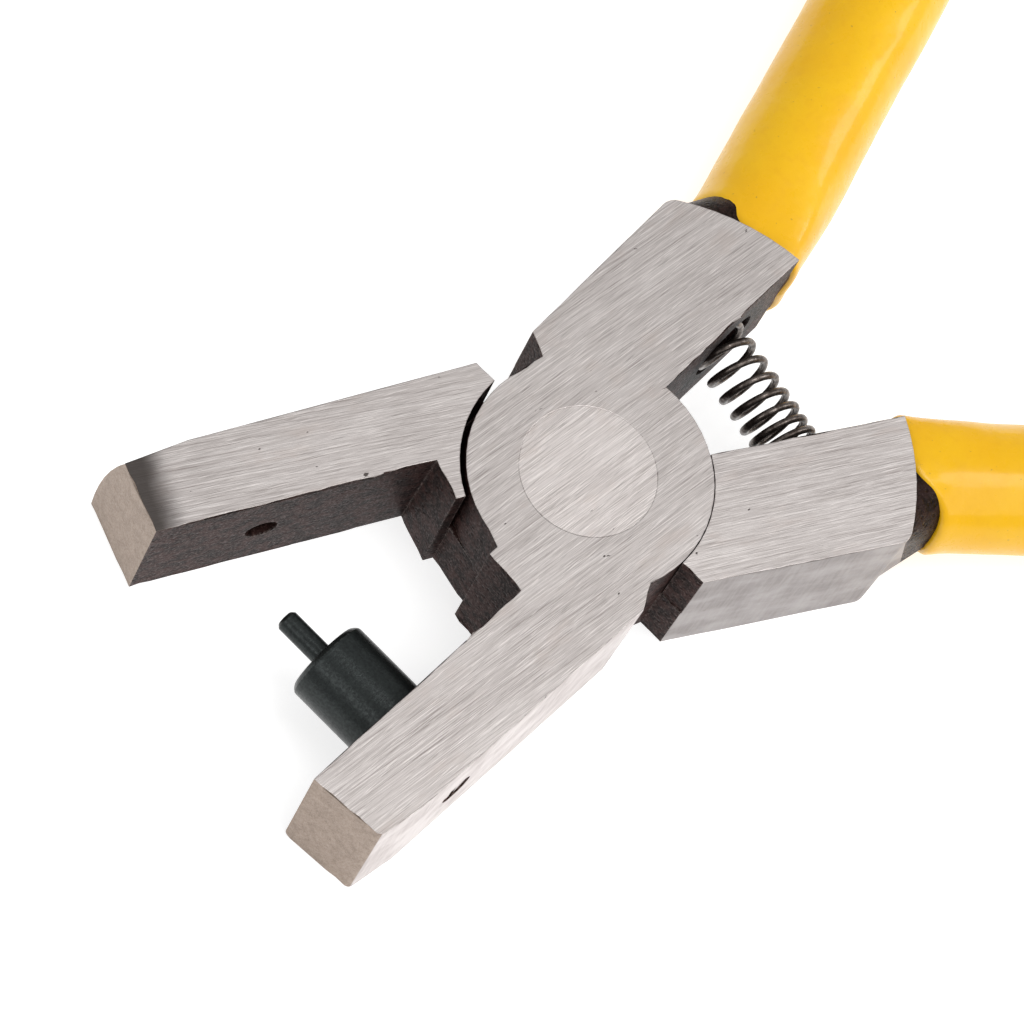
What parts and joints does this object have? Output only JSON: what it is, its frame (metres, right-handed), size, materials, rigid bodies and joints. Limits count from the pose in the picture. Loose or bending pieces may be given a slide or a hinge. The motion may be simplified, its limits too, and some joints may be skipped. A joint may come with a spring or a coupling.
{
  "type": "snap setter pliers",
  "caption": "Small spring-opened pliers with a pin punch on one jaw, a through die hole in the other, a flush lap pivot and bowed dipped grips.",
  "frame": {"origin": "pivot axis on the back face, which is the face the tool lies on", "axes": "+X from the handles to the jaws along the centre line, +Y towards the punch jaw, +Z along the pivot axis out of the front face"},
  "size_m": [0.139, 0.104, 0.0112],
  "materials": {
    "ground_steel": "ground faces, dark forged recesses",
    "rivet_steel": "ground",
    "spring_steel": "dark drawn wire",
    "black_steel": "satin black oxide",
    "dipped_plastic": "glossy yellow"
  },
  "bodies": {
    "punch_side": {"punch_lever": "ground_steel", "punch_grip": "dipped_plastic", "pivot_rivet": "rivet_steel", "punch_holder": "black_steel", "punch_pin": "black_steel", "punch_screw": "rivet_steel", "return_spring": "spring_steel"},
    "die_side": {"die_lever": "ground_steel", "die_grip": "dipped_plastic"}
  },
  "joints": [
    {"name": "jaw_pivot", "type": "hinge", "parent": "punch_side", "child": "die_side", "pos_m": [0, 0, 0], "axis": [0, 0, 1], "range_deg": [0, 25.5], "stiffness_Nm_per_rad": 0.6, "deforming": ["return_spring"]}
  ]
}
